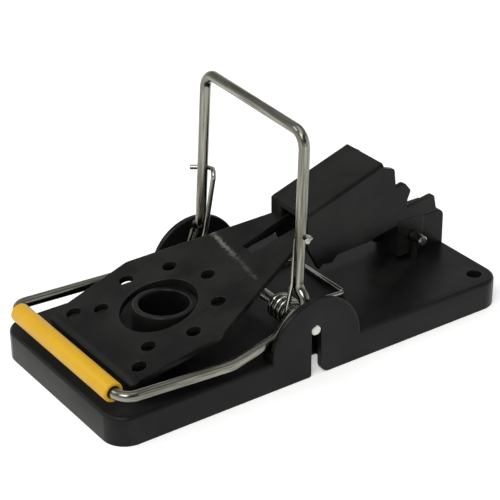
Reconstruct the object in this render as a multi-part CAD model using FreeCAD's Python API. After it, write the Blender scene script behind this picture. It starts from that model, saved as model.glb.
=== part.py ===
import FreeCAD, Part
import math
import os

from FreeCAD import Vector

# Snap mouse trap, shown sprung.
# Millimetres. Origin at the middle of the base's underside, +Z up, +X towards the rear bracket,
# so the striker bar with its grip sleeve lies at -X. The trap is symmetric about the XZ plane.

# Base moulding
LENGTH = 120.0
WIDTH = 56.2
DECK_Z = 8.0
WALL = 1.7
DECK_THICKNESS = 1.8
PLAN_CORNER = 6.3
TOP_EDGE_ROUND = 1.0

# Cheeks that carry the axle
CHEEK_RADIUS = 13.5
CHEEK_X = -1.7
CHEEK_RIM_ROUND = 0.5
SLOT_FRONT_MOUTH = 0.8
SLOT_REAR_MOUTH = 2.7
SLOT_OVERRUN = 0.4

# Bays under the deck that the bail's eyes look into
BAY_FRONT_X = -7.8
BAY_REAR_X = 3.9
BAY_INNER_Y = 20.0
BAY_WALL = 1.6

# Bait cup
CUP_X = -28.5
CUP_RIM_Z = 16.8
CUP_RIM_RADIUS = 8.0
CUP_FOOT_RADIUS = 8.4
CUP_MOUTH_RADIUS = 6.4
CUP_FLOOR_RADIUS = 6.1
CUP_RIM_ROUND = 0.5

# Screw holes in the rear corners
SCREW_X = 54.5
SCREW_Y = 22.4
SCREW_HOLE_RADIUS = 2.0
SCREW_BOSS_RADIUS = 4.2

# Rear bracket and the lever's pin
PIN_X = 46.2
PIN_Z = 15.5
PIN_DIAMETER = 2.8
PIN_HALF_LENGTH = 11.2
PIN_PRESS_GAP = 0.01
PIN_RUNNING_GAP = 0.06
PIN_CHAMFER = 0.4
BRACKET_HALF_WIDTH = 3.2
BRACKET_FRONT_X = 43.0
BRACKET_TOP_Z = 18.1
BRACKET_FRONT_ROUND = 1.2
BRACKET_REAR_ROUND = 2.2
BRACKET_EDGE_ROUND = 0.4
SADDLE_INNER_Y = 7.0
SADDLE_OUTER_Y = 8.0
SADDLE_HALF_LENGTH = 0.8

# Axle
AXLE_X = -2.0
AXLE_Z = 13.0
AXLE_DIAMETER = 2.8
AXLE_GAP = 0.05
AXLE_CHAMFER = 0.25

# Striker bail, one bent wire with an eye round the axle at each side
BAIL_WIRE = 2.8
CROSSBAR_X = -1.0
CROSSBAR_Z = 63.5
CROSSBAR_CORNER_Y = 20.95
CROSSBAR_CORNER_RADIUS = 4.0
EYE_RADIUS = (AXLE_DIAMETER + BAIL_WIRE) / 2 + AXLE_GAP
EYE_OUTER_Y = 24.65
EYE_INNER_Y = 21.85
EYE_TURNS = 0.75
UPPER_LEG_FOOT = [(-3.0, -21.6, 22.6), (-2.9, -24.5, 20.2), (-4.2, -24.55, 16.6)]
LOWER_LEG_START = (-12.4, -24.1, 11.75)
LOWER_LEG_KINK = (-26.5, -27.0, 11.2)
LEG_BEND_RADIUS = 3.0
STRIKER_BAR_X = -57.0
STRIKER_BAR_Z = 12.8
STRIKER_CORNER_Y = 26.65
STRIKER_CORNER_RADIUS = 3.9
LEG_KINK_RADIUS = 12.0
WIRE_END_GAP = 0.6
REST_POST_X = -14.2
REST_POST_TOP_Z = 10.1
REST_POST_HALF_LENGTH = 1.0
REST_POST_REACH = 2.8

# Grip sleeve
SLEEVE_DIAMETER = 5.2
SLEEVE_BORE = 3.4
SLEEVE_LENGTH = 45.6
SLEEVE_CHAMFER = 0.25

# Double torsion spring
SPRING_WIRE = 1.3
SPRING_RADIUS = 2.9
SPRING_TURNS = 4.25
SPRING_PITCH = 1.76
SPRING_OUTER_Y = 19.35
SPRING_BRIDGE_X = 19.7
SPRING_BRIDGE_Y = 11.2
SPRING_BRIDGE_Z = 8.72
SPRING_BEND_RADIUS = 1.5
SPRING_HOOK = [(-2.6, -24.7, 36.5), (-0.15, -22.9, 35.8), (-0.15, -19.9, 35.2), (-1.45, -17.55, 34.0)]
SPRING_HOOK_RADIUS = 1.3
SPRING_ARM = [(-3.3, -18.8, 22.0), (-4.65, -19.4, 16.3)]
SPRING_ARM_RADIUS = 12.0
SPRING_LEG_START = 3.0
SPRING_LEG_RADIUS = 8.0

# Trip lever: treadle plate, slot and holes
TREADLE_FRONT_X = -50.3
TREADLE_REAR_X = 14.5
TREADLE_REFERENCE_X = -50.0
TREADLE_REFERENCE_Z = 11.1
TREADLE_SLOPE = 0.272
TREADLE_THICKNESS = 1.87
TREADLE_FRONT_HALF = 19.9
TREADLE_WIDEST_X = -26.0
TREADLE_WIDEST_HALF = 22.2
TREADLE_FRONT_CORNER = 1.2
TREADLE_WIDEST_CORNER = 3.0
NECK_CORNER = 4.0
NECK_X = 10.5
NECK_HALF = 7.2
LIP_BOTTOM_Z = 8.5
LIP_THICKNESS = 1.6
LIP_BEVEL = 0.8
LIP_STEP_DEPTH = 0.3
LIP_STEP_FROM = 1.3
LIP_STEP_TO = 1.9
CUP_HOLE_X = -30.0
CUP_HOLE_RADIUS = 9.9
SMALL_HOLE_RADIUS = 1.8
SMALL_HOLES = [(-45.6, 15.6), (-40.1, 11.1), (-29.9, 15.6), (-19.6, 11.1), (-15.2, 0.0)]
NECK_SLOT_X = -3.1
NECK_SLOT_FRONT_HALF = 2.15
NECK_SLOT_REAR_HALF = 3.0
NECK_RIB_DEPTH = 3.4
NECK_RIB_FRONT_X = -18.0
NECK_RIB_INSET = 0.2

# Trip lever: hood with its catch, and the pivot plates
HOOD_HALF_WIDTH = 8.0
HOOD_WALL = 1.5
HOOD_TOP_THICKNESS = 1.6
HOOD_FRONT_X = 10.0
HOOD_FRONT_Z = 32.4
HOOD_REAR_X = 34.4
HOOD_REAR_Z = 40.4
HOOD_EDGE_BEVEL = 0.7
HOOD_MOUTH_HALF = 3.6
HOOD_MOUTH_TOP_Z = 30.4
PIVOT_PLATE_INNER_Y = 3.5
PIVOT_PLATE_OUTER_Y = 6.5

# Outlines in XZ, each point with its corner radius
HOOD_REAR_OUTLINE = [
    (34.4, 39.2, 0), (38.1, 37.8, 0.9), (38.8, 32.2, 0),
    (41.6, 33.0, 1.5), (43.9, 30.1, 1.1), (42.8, 27.4, 0.9), (42.7, 25.4, 0),
]
HOOD_NEAR_FIN = [(52.0, 26.7, 1.2), (53.1, 21.5, 0.9)]
HOOD_FAR_FIN = [(44.6, 25.7, 0.9), (45.2, 21.8, 0.9)]
HOOD_SKIRT_OUTLINE = [
    (40.0, 22.0, 0), (39.3, 20.8, 0), (29.8, 18.9, 0), (19.9, 18.4, 0),
    (18.0, 16.6, 0), (15.0, 17.1, 0), (13.8, 15.9, 0), (10.0, 23.1, 0),
]
PIVOT_PLATE_OUTLINE = [
    (41.0, 10.2, 1.0), (49.4, 10.2, 2.4), (50.4, 24.4, 0),
    (34.0, 24.4, 0), (34.0, 21.0, 0), (41.0, 19.4, 0.9),
]

TOUCHING = 1e-6


# Outlines and bent runs

def corner_arc(before, corner, after, radius):
    """The start, middle and end of the arc that rounds one corner of a path."""
    backward = (before - corner).normalize()
    forward = (after - corner).normalize()
    half_turn = (math.pi - backward.getAngle(forward)) / 2
    setback = radius * math.tan(half_turn)
    bisector = (backward + forward).normalize()
    centre = corner + bisector * (radius / math.cos(half_turn))
    return corner + backward * setback, centre - bisector * radius, corner + forward * setback


def rounded_edges(points, radii, closed=False):
    """Straight runs through the points, with an arc of the given radius at each corner."""
    count = len(points)
    arcs = {}
    for i in range(count):
        is_end = not closed and i in (0, count - 1)
        if radii[i] > 0 and not is_end:
            arcs[i] = corner_arc(points[i - 1], points[i], points[(i + 1) % count], radii[i])
    edges = []
    for i in range(count if closed else count - 1):
        j = (i + 1) % count
        start = arcs[i][2] if i in arcs else points[i]
        end = arcs[j][0] if j in arcs else points[j]
        if start.distanceToPoint(end) > TOUCHING:
            edges.append(Part.LineSegment(start, end).toShape())
        if j in arcs:
            edges.append(Part.Arc(*arcs[j]).toShape())
    return edges


def side_prism(outline, y_from, y_to):
    """Extrude an XZ outline of (x, z, corner radius) along Y."""
    points = [Vector(x, y_from, z) for x, z, radius in outline]
    radii = [radius for x, z, radius in outline]
    face = Part.Face(Part.Wire(rounded_edges(points, radii, closed=True)))
    return face.extrude(Vector(0, y_to - y_from, 0))


def plan_prism(outline, z_from, z_to):
    """Extrude an XY outline of (x, y, corner radius) along Z."""
    points = [Vector(x, y, z_from) for x, y, radius in outline]
    radii = [radius for x, y, radius in outline]
    face = Part.Face(Part.Wire(rounded_edges(points, radii, closed=True)))
    return face.extrude(Vector(0, 0, z_to - z_from))


def block(x_from, x_to, y_from, y_to, z_from, z_to):
    corner = Vector(x_from, y_from, z_from)
    return Part.makeBox(x_to - x_from, y_to - y_from, z_to - z_from, corner)


def cross_pin(radius, x, z, y_from, y_to):
    """A cylinder along Y."""
    return Part.makeCylinder(radius, y_to - y_from, Vector(x, y_from, z), Vector(0, 1, 0))


def upright_pin(radius, x, y, z_from, z_to):
    """A cylinder along Z."""
    return Part.makeCylinder(radius, z_to - z_from, Vector(x, y, z_from))


def both_sides(shape):
    """The shape and its mirror image across the XZ plane."""
    return [shape, shape.mirror(Vector(0, 0, 0), Vector(0, 1, 0))]


# Wire forms

def arc_middle(start, way, end):
    """The middle of the arc that leaves start along way and reaches end."""
    chord = end - start
    across = (way - chord * (way.dot(chord) / chord.dot(chord))).normalize()
    rise = chord.Length / 2 * math.tan(way.getAngle(chord) / 2)
    return (start + end) * 0.5 + across * rise


def biarc(start, start_way, end, end_way):
    """Two arcs, tangent to each other, that leave and arrive along the given directions."""
    chord = end - start
    turn = 2 * (1 - start_way.dot(end_way))
    along = chord.dot(start_way + end_way)
    reach = (math.sqrt(along ** 2 + turn * chord.dot(chord)) - along) / turn
    meeting = (start + end + (start_way - end_way) * reach) * 0.5
    first = Part.Arc(start, arc_middle(start, start_way, meeting), meeting)
    second = Part.Arc(meeting, arc_middle(end, end_way * -1, meeting), end)
    return [first.toShape(), second.toShape()]


def coil_point(radius, angle, y):
    """A point at an angle round the axle, counted from +X towards +Z."""
    return Vector(AXLE_X + radius * math.cos(angle), y, AXLE_Z + radius * math.sin(angle))


def coil_way(radius, angle, rise):
    """The direction of travel there, where rise is the climb along Y in a radian."""
    return Vector(-radius * math.sin(angle), rise, radius * math.cos(angle)).normalize()


def coil_edges(radius, first_angle, turns, y_from, y_to):
    """A helix about the axle in steps of a quarter turn."""
    steps = round(turns * 4)
    rise = (y_to - y_from) / (turns * 2 * math.pi)
    edges = []
    for step in range(steps):
        angle = first_angle + step * math.pi / 2
        next_angle = angle + math.pi / 2
        y = y_from + step * (y_to - y_from) / steps
        next_y = y_from + (step + 1) * (y_to - y_from) / steps
        edges += biarc(
            coil_point(radius, angle, y),
            coil_way(radius, angle, rise),
            coil_point(radius, next_angle, next_y),
            coil_way(radius, next_angle, rise),
        )
    return edges


def bent_wire(edges, diameter):
    """Sweep the round section of a wire along connected edges."""
    first = edges[0]
    start = first.valueAt(first.FirstParameter)
    way = first.tangentAt(first.FirstParameter)
    section = Part.Wire(Part.makeCircle(diameter / 2, start, way))
    wire = Part.Wire(edges).makePipeShell([section], True, False)
    length = sum(edge.Length for edge in edges)
    share = wire.Volume / (math.pi * diameter ** 2 / 4 * length)
    print("wire of", round(diameter, 2), "mm: length", round(length, 1), "volume share", round(share, 4))
    return wire


def least_gap(edges, diameter, step=0.25):
    """The least space between a wire and its own other turns, measured on points of its middle line."""
    points = []
    for edge in edges:
        count = max(2, round(edge.Length / step))
        points += edge.discretize(count)[:-1]
    apart = round(math.pi * diameter / step)
    nearest = min(
        points[i].distanceToPoint(points[j])
        for i in range(len(points))
        for j in range(i + apart, len(points))
    )
    return nearest - diameter


# Base moulding

def rounded_plan(inset, z_from, z_to):
    """The base's rounded rectangle, drawn in by an inset."""
    x = LENGTH / 2 - inset
    y = WIDTH / 2 - inset
    corner = PLAN_CORNER - inset
    outline = [(-x, -y, corner), (x, -y, corner), (x, y, corner), (-x, y, corner)]
    return plan_prism(outline, z_from, z_to)


def edges_at_height(shape, z):
    return [
        edge for edge in shape.Edges
        if abs(edge.BoundBox.ZMin - z) < TOUCHING and abs(edge.BoundBox.ZMax - z) < TOUCHING
    ]


def tray():
    """The deck and side walls, open below."""
    outer = rounded_plan(0, 0, DECK_Z)
    outer = outer.makeFillet(TOP_EDGE_ROUND, edges_at_height(outer, DECK_Z))
    return outer.cut(rounded_plan(WALL, -1, DECK_Z - DECK_THICKNESS))


def outline_edges(plate, foot_z):
    """The edges round both faces of an upright plate along XZ, without those along its foot."""
    return [
        edge for edge in plate.Edges
        if edge.BoundBox.YLength < TOUCHING and edge.BoundBox.ZMax > foot_z + TOUCHING
    ]


def cheek():
    """One half-round cheek, flush with the near side wall, with a rounded rim."""
    foot_z = DECK_Z - 2 * TOP_EDGE_ROUND
    inner_y = -WIDTH / 2 + WALL
    crown = side_prism(
        [
            (CHEEK_X - CHEEK_RADIUS, foot_z, 0),
            (CHEEK_X - CHEEK_RADIUS, DECK_Z + CHEEK_RADIUS, CHEEK_RADIUS),
            (CHEEK_X + CHEEK_RADIUS, DECK_Z + CHEEK_RADIUS, CHEEK_RADIUS),
            (CHEEK_X + CHEEK_RADIUS, foot_z, 0),
        ],
        -WIDTH / 2,
        inner_y,
    )
    return crown.makeFillet(CHEEK_RIM_ROUND, outline_edges(crown, foot_z))


def axle_slot():
    """The slot that seats the axle at its round top and opens downwards, with a rounded mouth."""
    half = AXLE_DIAMETER / 2 + AXLE_GAP
    front_x = AXLE_X - half
    rear_x = AXLE_X + half
    top_z = AXLE_Z + half
    outline = [
        (front_x - 2 * SLOT_FRONT_MOUTH, -1, 0),
        (front_x - 2 * SLOT_FRONT_MOUTH, 0, 0),
        (front_x, 0, SLOT_FRONT_MOUTH),
        (front_x, top_z, half),
        (rear_x, top_z, half),
        (rear_x, 0, SLOT_REAR_MOUTH),
        (rear_x + 2 * SLOT_REAR_MOUTH, 0, 0),
        (rear_x + 2 * SLOT_REAR_MOUTH, -1, 0),
    ]
    return side_prism(outline, -WIDTH / 2 - 1, -WIDTH / 2 + WALL + SLOT_OVERRUN)


def eye_bay():
    """The walled bay below one eye of the bail, with its window in the deck."""
    inner_y = WIDTH / 2 - WALL
    walls = block(
        BAY_FRONT_X - BAY_WALL, BAY_REAR_X + BAY_WALL,
        -inner_y - WALL / 2, -BAY_INNER_Y + BAY_WALL,
        0, DECK_Z - DECK_THICKNESS / 2,
    )
    window = block(BAY_FRONT_X, BAY_REAR_X, -inner_y, -BAY_INNER_Y, -1, DECK_Z + 1)
    return walls, window


def bait_cup():
    """The raised ring that holds the bait, turned about its own axis."""
    foot_z = DECK_Z - DECK_THICKNESS / 2
    profile = [
        (CUP_X + CUP_FLOOR_RADIUS, foot_z, 0),
        (CUP_X + CUP_FOOT_RADIUS, foot_z, 0),
        (CUP_X + CUP_RIM_RADIUS, CUP_RIM_Z, CUP_RIM_ROUND),
        (CUP_X + CUP_MOUTH_RADIUS, CUP_RIM_Z, CUP_RIM_ROUND),
    ]
    points = [Vector(x, 0, z) for x, z, radius in profile]
    radii = [radius for x, z, radius in profile]
    face = Part.Face(Part.Wire(rounded_edges(points, radii, closed=True)))
    return face.revolve(Vector(CUP_X, 0, 0), Vector(0, 0, 1), 360)


def bracket():
    """The upright at the rear edge that holds the lever's pin."""
    foot_z = DECK_Z - 2 * TOP_EDGE_ROUND
    upright = side_prism(
        [
            (BRACKET_FRONT_X, foot_z, 0),
            (BRACKET_FRONT_X, BRACKET_TOP_Z, BRACKET_FRONT_ROUND),
            (LENGTH / 2, BRACKET_TOP_Z, BRACKET_REAR_ROUND),
            (LENGTH / 2, foot_z, 0),
        ],
        -BRACKET_HALF_WIDTH,
        BRACKET_HALF_WIDTH,
    )
    upright = upright.makeFillet(BRACKET_EDGE_ROUND, outline_edges(upright, foot_z))
    hollow = block(
        0, LENGTH / 2 - WALL / 2,
        -WIDTH / 2, WIDTH / 2,
        0, DECK_Z - DECK_THICKNESS / 2,
    )
    return upright.cut(hollow)


def base_moulding():
    shape = tray()
    additions = [bait_cup(), bracket()]
    pin_reach = BRACKET_HALF_WIDTH + 1
    cuts = [cross_pin(PIN_DIAMETER / 2 + PIN_PRESS_GAP, PIN_X, PIN_Z, -pin_reach, pin_reach)]
    bay_walls, bay_window = eye_bay()
    deck_middle = DECK_Z - DECK_THICKNESS / 2
    inner_y = WIDTH / 2 - WALL
    rest_post = block(
        REST_POST_X - REST_POST_HALF_LENGTH, REST_POST_X + REST_POST_HALF_LENGTH,
        -inner_y - WALL / 2, -inner_y + REST_POST_REACH,
        deck_middle, REST_POST_TOP_Z,
    )
    saddle_top = PIN_Z - PIN_DIAMETER / 2 - PIN_PRESS_GAP
    saddle = block(
        PIN_X - SADDLE_HALF_LENGTH, PIN_X + SADDLE_HALF_LENGTH,
        -SADDLE_OUTER_Y, -SADDLE_INNER_Y, deck_middle, saddle_top,
    )
    boss = upright_pin(SCREW_BOSS_RADIUS, SCREW_X, -SCREW_Y, 0, deck_middle)
    for feature in (cheek(), bay_walls, rest_post, saddle, boss):
        additions += both_sides(feature.common(rounded_plan(0, 0, DECK_Z + 2 * CHEEK_RADIUS)))
    screw_hole = upright_pin(SCREW_HOLE_RADIUS, SCREW_X, -SCREW_Y, -1, DECK_Z + 1)
    for cut in (bay_window, axle_slot(), screw_hole):
        cuts += both_sides(cut)
    return shape.multiFuse(additions).removeSplitter().cut(cuts)


# Steel pieces

def chamfered_rod(diameter, x, z, half_length, chamfer):
    rod = cross_pin(diameter / 2, x, z, -half_length, half_length)
    rims = [edge for edge in rod.Edges if edge.Curve.TypeId == "Part::GeomCircle"]
    return rod.makeChamfer(chamfer, rims)


def bail_half_edges():
    """The near half of the bail's middle line, from the crossbar's middle to the end in the sleeve."""
    rise = (EYE_OUTER_Y - EYE_INNER_Y) / (EYE_TURNS * 2 * math.pi)
    last_angle = math.pi + EYE_TURNS * 2 * math.pi
    eye_start = coil_point(EYE_RADIUS, math.pi, -EYE_OUTER_Y)
    eye_start_way = coil_way(EYE_RADIUS, math.pi, rise)
    eye_end = coil_point(EYE_RADIUS, last_angle, -EYE_INNER_Y)
    eye_end_way = coil_way(EYE_RADIUS, last_angle, rise)
    upper = [
        Vector(CROSSBAR_X, 0, CROSSBAR_Z),
        Vector(CROSSBAR_X, -CROSSBAR_CORNER_Y, CROSSBAR_Z),
    ]
    upper += [Vector(*point) for point in UPPER_LEG_FOOT]
    lower = [
        Vector(*LOWER_LEG_START),
        Vector(*LOWER_LEG_KINK),
        Vector(STRIKER_BAR_X, -STRIKER_CORNER_Y, STRIKER_BAR_Z),
        Vector(STRIKER_BAR_X, -WIRE_END_GAP / 2, STRIKER_BAR_Z),
    ]
    edges = rounded_edges(upper, [0, CROSSBAR_CORNER_RADIUS, LEG_BEND_RADIUS, LEG_BEND_RADIUS, 0])
    edges += biarc(upper[-1], (upper[-1] - upper[-2]).normalize(), eye_start, eye_start_way)
    edges += coil_edges(EYE_RADIUS, math.pi, EYE_TURNS, -EYE_OUTER_Y, -EYE_INNER_Y)
    edges += biarc(eye_end, eye_end_way, lower[0], (lower[1] - lower[0]).normalize())
    edges += rounded_edges(lower, [0, LEG_KINK_RADIUS, STRIKER_CORNER_RADIUS, 0])
    return edges


def striker_bail():
    edges = bail_half_edges()
    print("bail: least gap to itself", round(least_gap(edges, BAIL_WIRE), 3))
    near, far = both_sides(bent_wire(edges, BAIL_WIRE))
    return near.fuse(far).removeSplitter()


def spring_half_edges():
    """The near half of the spring's middle line, from the hook's tip to the middle of the bridge."""
    inner_y = SPRING_OUTER_Y - SPRING_PITCH * SPRING_TURNS
    rise = SPRING_PITCH / (2 * math.pi)
    last_angle = math.pi + SPRING_TURNS * 2 * math.pi
    coil_start = coil_point(SPRING_RADIUS, math.pi, -SPRING_OUTER_Y)
    coil_start_way = coil_way(SPRING_RADIUS, math.pi, rise)
    coil_end = coil_point(SPRING_RADIUS, last_angle, -inner_y)
    coil_end_way = coil_way(SPRING_RADIUS, last_angle, rise)
    arm = [Vector(*point) for point in SPRING_HOOK + SPRING_ARM]
    arm_radii = [0, SPRING_BEND_RADIUS, SPRING_HOOK_RADIUS, SPRING_HOOK_RADIUS, SPRING_ARM_RADIUS, 0]
    leg = [
        coil_end,
        coil_end + coil_end_way * SPRING_LEG_START,
        Vector(SPRING_BRIDGE_X, -SPRING_BRIDGE_Y, SPRING_BRIDGE_Z),
        Vector(SPRING_BRIDGE_X, 0, SPRING_BRIDGE_Z),
    ]
    edges = rounded_edges(arm, arm_radii)
    edges += biarc(arm[-1], (arm[-1] - arm[-2]).normalize(), coil_start, coil_start_way)
    edges += coil_edges(SPRING_RADIUS, math.pi, SPRING_TURNS, -SPRING_OUTER_Y, -inner_y)
    edges += rounded_edges(leg, [0, SPRING_LEG_RADIUS, SPRING_BEND_RADIUS, 0])
    return edges


def torsion_spring():
    edges = spring_half_edges()
    print("spring: least gap to itself", round(least_gap(edges, SPRING_WIRE), 3))
    near, far = both_sides(bent_wire(edges, SPRING_WIRE))
    return near.fuse(far).removeSplitter()


def grip_sleeve():
    half = SLEEVE_LENGTH / 2
    tube = chamfered_rod(SLEEVE_DIAMETER, STRIKER_BAR_X, STRIKER_BAR_Z, half, SLEEVE_CHAMFER)
    return tube.cut(cross_pin(SLEEVE_BORE / 2, STRIKER_BAR_X, STRIKER_BAR_Z, -half - 1, half + 1))


# Trip lever

def treadle_top(x):
    """The height of the treadle's sloping top face."""
    return TREADLE_REFERENCE_Z + TREADLE_SLOPE * (x - TREADLE_REFERENCE_X)


def treadle():
    """The sloping plate with its stepped front lip, holes and neck slot."""
    lip_rear_x = TREADLE_FRONT_X + LIP_THICKNESS
    bevel_x = TREADLE_FRONT_X + LIP_BEVEL
    step_x = TREADLE_FRONT_X + LIP_STEP_FROM
    step_end_x = TREADLE_FRONT_X + LIP_STEP_TO
    section = side_prism(
        [
            (TREADLE_FRONT_X, LIP_BOTTOM_Z, 0),
            (TREADLE_FRONT_X, treadle_top(bevel_x) - LIP_STEP_DEPTH - LIP_BEVEL, 0),
            (bevel_x, treadle_top(bevel_x) - LIP_STEP_DEPTH, 0),
            (step_x, treadle_top(step_x) - LIP_STEP_DEPTH, 0),
            (step_end_x, treadle_top(step_end_x), 0),
            (TREADLE_REAR_X, treadle_top(TREADLE_REAR_X), 0),
            (TREADLE_REAR_X, treadle_top(TREADLE_REAR_X) - TREADLE_THICKNESS, 0),
            (lip_rear_x, treadle_top(lip_rear_x) - TREADLE_THICKNESS, 0),
            (lip_rear_x, LIP_BOTTOM_Z, 0),
        ],
        -WIDTH / 2,
        WIDTH / 2,
    )
    plan = plan_prism(
        [
            (TREADLE_FRONT_X, -TREADLE_FRONT_HALF, TREADLE_FRONT_CORNER),
            (TREADLE_WIDEST_X, -TREADLE_WIDEST_HALF, TREADLE_WIDEST_CORNER),
            (NECK_X, -NECK_HALF, NECK_CORNER),
            (TREADLE_REAR_X, -NECK_HALF, 0),
            (TREADLE_REAR_X, NECK_HALF, 0),
            (NECK_X, NECK_HALF, NECK_CORNER),
            (TREADLE_WIDEST_X, TREADLE_WIDEST_HALF, TREADLE_WIDEST_CORNER),
            (TREADLE_FRONT_X, TREADLE_FRONT_HALF, TREADLE_FRONT_CORNER),
        ],
        0,
        HOOD_REAR_Z,
    )
    holes = [upright_pin(CUP_HOLE_RADIUS, CUP_HOLE_X, 0, 0, HOOD_REAR_Z)]
    for x, y in SMALL_HOLES:
        for side in ((-1, 1) if y else (1,)):
            holes.append(upright_pin(SMALL_HOLE_RADIUS, x, side * y, 0, HOOD_REAR_Z))
    slot = [
        (NECK_SLOT_X, -NECK_SLOT_FRONT_HALF, 0),
        (HOOD_FRONT_X, -NECK_SLOT_REAR_HALF, 0),
        (TREADLE_REAR_X + 1, -NECK_SLOT_REAR_HALF, 0),
        (TREADLE_REAR_X + 1, NECK_SLOT_REAR_HALF, 0),
        (HOOD_FRONT_X, NECK_SLOT_REAR_HALF, 0),
        (NECK_SLOT_X, NECK_SLOT_FRONT_HALF, 0),
    ]
    holes.append(plan_prism(slot, 0, HOOD_REAR_Z))
    return section.common(plan).cut(holes)


def neck_ribs():
    """Two stiffening ribs under the neck that run out of the hood's walls."""
    front_z = treadle_top(NECK_RIB_FRONT_X) - TREADLE_THICKNESS / 2
    rear_z = treadle_top(TREADLE_REAR_X) - TREADLE_THICKNESS / 2
    rib = side_prism(
        [
            (NECK_RIB_FRONT_X, front_z, 0),
            (TREADLE_REAR_X, rear_z, 0),
            (TREADLE_REAR_X, rear_z - NECK_RIB_DEPTH - TREADLE_THICKNESS, 0),
            (NECK_X, treadle_top(NECK_X) - NECK_RIB_DEPTH - TREADLE_THICKNESS, 0),
            (NECK_RIB_FRONT_X, front_z - TREADLE_THICKNESS, 0),
        ],
        -NECK_HALF + NECK_RIB_INSET,
        -NECK_HALF + NECK_RIB_INSET + HOOD_WALL,
    )
    return both_sides(rib)


def hood_walls():
    """The side walls: roof line, rear lobe, catch tongue, stop fin, longer on the near side, and skirt."""
    rear = [(HOOD_FRONT_X, HOOD_FRONT_Z, 0), (HOOD_REAR_X, HOOD_REAR_Z, 0)] + HOOD_REAR_OUTLINE
    near = rear + HOOD_NEAR_FIN + HOOD_SKIRT_OUTLINE
    far = rear + HOOD_FAR_FIN + HOOD_SKIRT_OUTLINE
    return [
        side_prism(near, -HOOD_HALF_WIDTH, -HOOD_HALF_WIDTH + HOOD_WALL),
        side_prism(far, HOOD_HALF_WIDTH - HOOD_WALL, HOOD_HALF_WIDTH),
    ]


def hood_roof():
    """The sloping roof and the front wall with its mouth over the neck slot."""
    slope = (HOOD_REAR_Z - HOOD_FRONT_Z) / (HOOD_REAR_X - HOOD_FRONT_X)
    inner_front_x = HOOD_FRONT_X + HOOD_WALL
    inner_front_z = HOOD_FRONT_Z + slope * HOOD_WALL - HOOD_TOP_THICKNESS
    section = side_prism(
        [
            (HOOD_FRONT_X, HOOD_FRONT_Z, 0),
            (HOOD_REAR_X, HOOD_REAR_Z, 0),
            (HOOD_REAR_X, HOOD_REAR_Z - HOOD_TOP_THICKNESS, 0),
            (inner_front_x, inner_front_z, 0),
            (inner_front_x, treadle_top(inner_front_x) - TREADLE_THICKNESS / 2, 0),
            (HOOD_FRONT_X, treadle_top(HOOD_FRONT_X) - TREADLE_THICKNESS / 2, 0),
        ],
        -HOOD_HALF_WIDTH + HOOD_WALL / 2,
        HOOD_HALF_WIDTH - HOOD_WALL / 2,
    )
    mouth = block(
        HOOD_FRONT_X - 1, inner_front_x + 1,
        -HOOD_MOUTH_HALF, HOOD_MOUTH_HALF,
        treadle_top(TREADLE_WIDEST_X), HOOD_MOUTH_TOP_Z,
    )
    return section.cut(mouth)


def roof_bevel():
    """The wedge taken off the near upper edge of the hood, a little longer than the edge."""
    bevel = HOOD_EDGE_BEVEL
    run = Vector(HOOD_REAR_X - HOOD_FRONT_X, 0, HOOD_REAR_Z - HOOD_FRONT_Z)
    overrun = run * 0.02
    start = Vector(HOOD_FRONT_X, -HOOD_HALF_WIDTH, HOOD_FRONT_Z) - overrun
    corners = [start + Vector(0, bevel, 0), start + Vector(0, 0, -bevel), start + Vector(0, -1, 1)]
    face = Part.Face(Part.makePolygon(corners + corners[:1]))
    return face.extrude(run + overrun * 2)


def pivot_plates():
    """The plates inside the skirt that reach down to the pin."""
    return both_sides(side_prism(PIVOT_PLATE_OUTLINE, -PIVOT_PLATE_OUTER_Y, -PIVOT_PLATE_INNER_Y))


def trip_lever():
    shape = treadle().multiFuse(neck_ribs() + hood_walls() + [hood_roof()] + pivot_plates())
    bore = cross_pin(PIN_DIAMETER / 2 + PIN_RUNNING_GAP, PIN_X, PIN_Z, -WIDTH / 2, WIDTH / 2)
    return shape.cut([bore] + both_sides(roof_bevel())).removeSplitter()


# Export

def main():
    nodes = {
        "base": base_moulding(),
        "axle": chamfered_rod(AXLE_DIAMETER, AXLE_X, AXLE_Z, WIDTH / 2, AXLE_CHAMFER),
        "striker_bail": striker_bail(),
        "grip_sleeve": grip_sleeve(),
        "torsion_spring": torsion_spring(),
        "trip_lever": trip_lever(),
        "lever_pin": chamfered_rod(PIN_DIAMETER, PIN_X, PIN_Z, PIN_HALF_LENGTH, PIN_CHAMFER),
    }
    os.makedirs("parts", exist_ok=True)
    for name, shape in nodes.items():
        solids = shape.Solids
        print(name, "solids", len(solids), "valid", shape.isValid(), "volume", round(shape.Volume, 1))
        if len(solids) == 1:
            shape = solids[0]
        shape.exportStep("parts/" + name + ".step")


main()
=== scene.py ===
import logging
import math
from dataclasses import dataclass
from enum import Enum
from typing import Any, Iterable, Sequence

import bmesh
import bpy
from bpy.types import Material, Mesh, Node, NodeOutputs, NodeSocket, NodeTree, Object, World
from mathutils import Matrix, Vector


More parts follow.
